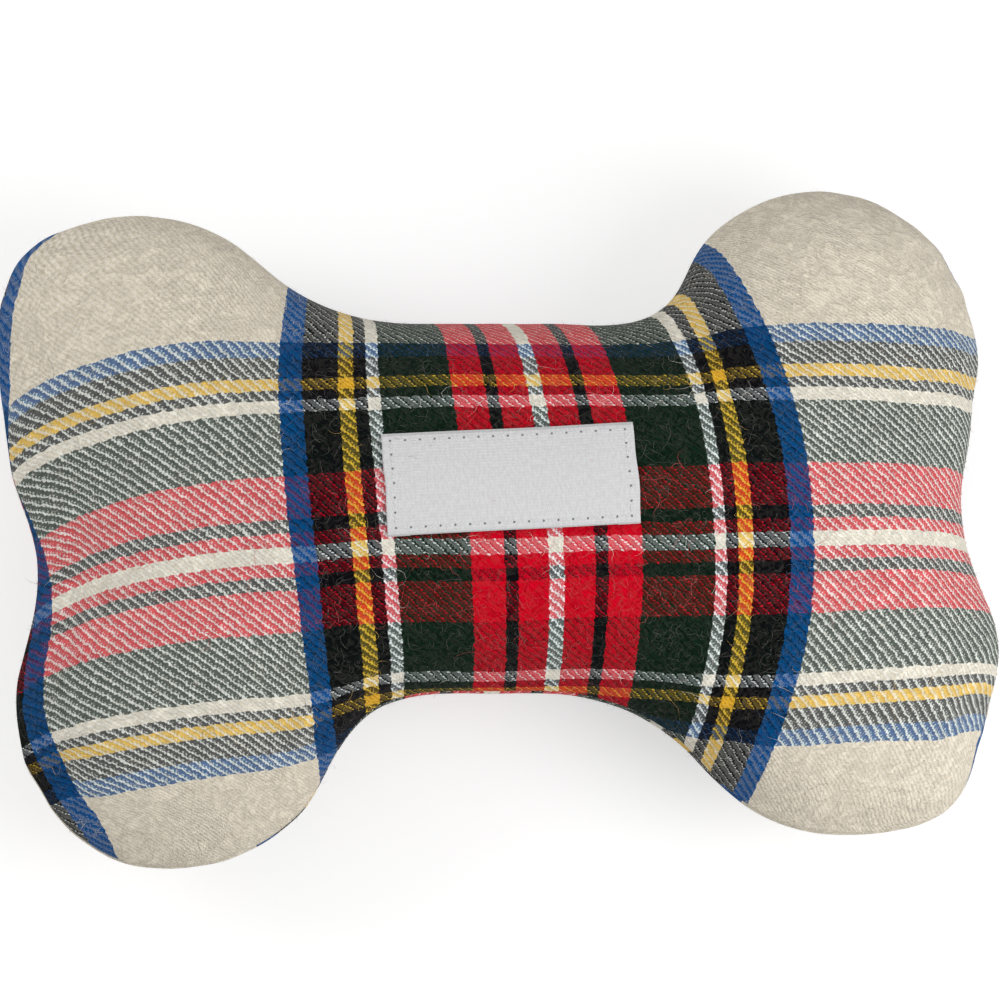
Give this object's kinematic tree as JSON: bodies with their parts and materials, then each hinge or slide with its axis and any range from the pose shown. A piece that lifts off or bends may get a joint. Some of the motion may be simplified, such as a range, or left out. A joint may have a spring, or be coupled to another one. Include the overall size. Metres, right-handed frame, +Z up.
{
  "type": "squeaky dog toy",
  "caption": "Stuffed bone-shaped dog toy in brushed tartan cloth, with a sewn-on woven label and a reed squeaker between its two panels.",
  "frame": {"origin": "centre of the bounding box, on the surface that the toy lies on", "axes": "+X along the bone, towards the right in the picture; +Y across the bone, towards the top of the picture; +Z up, out of the front panel that carries the label"},
  "size_m": [0.2054, 0.1402, 0.0537],
  "materials": {
    "tartan_cloth": "brushed cotton flannel, woven in a dress tartan of red, green, black, blue, yellow and cream",
    "sewing_thread": "spun thread",
    "woven_label": "fine woven ribbon, soft sheen",
    "label_thread": "smooth white thread",
    "stuffing": "lofty white fibre",
    "soft_plastic": "soft translucent bladder, satin",
    "whistle_plastic": "moulded, satin",
    "reed_film": "thin clear film"
  },
  "bodies": {
    "root": {"back_panel": "tartan_cloth", "seam_thread": "sewing_thread", "closing_thread": "sewing_thread", "fill_upper_left": "stuffing", "fill_lower_left": "stuffing", "fill_upper_right": "stuffing", "fill_lower_right": "stuffing", "fill_back": "stuffing", "squeaker_bellows": "soft_plastic", "reed_housing": "whistle_plastic", "reed_trough": "whistle_plastic", "reed_clamp": "whistle_plastic"},
    "front": {"front_panel": "tartan_cloth", "label": "woven_label", "label_thread": "label_thread", "fill_front": "stuffing"},
    "reed": {"reed_blade": "reed_film"}
  },
  "joints": [
    {"name": "squeeze", "type": "slide", "parent": "root", "child": "front", "axis": [0, 0, -1], "range_m": [0, 0.012], "stiffness_N_per_m": 800, "deforming": ["front_panel", "fill_front", "squeaker_bellows"]},
    {"name": "reed_flutter", "type": "hinge", "parent": "root", "child": "reed", "pos_m": [0.00154, 0.00343, 0.0164], "axis": [0, 1, 0], "range_deg": [-1.5, 4], "stiffness_Nm_per_rad": 0.0005}
  ]
}
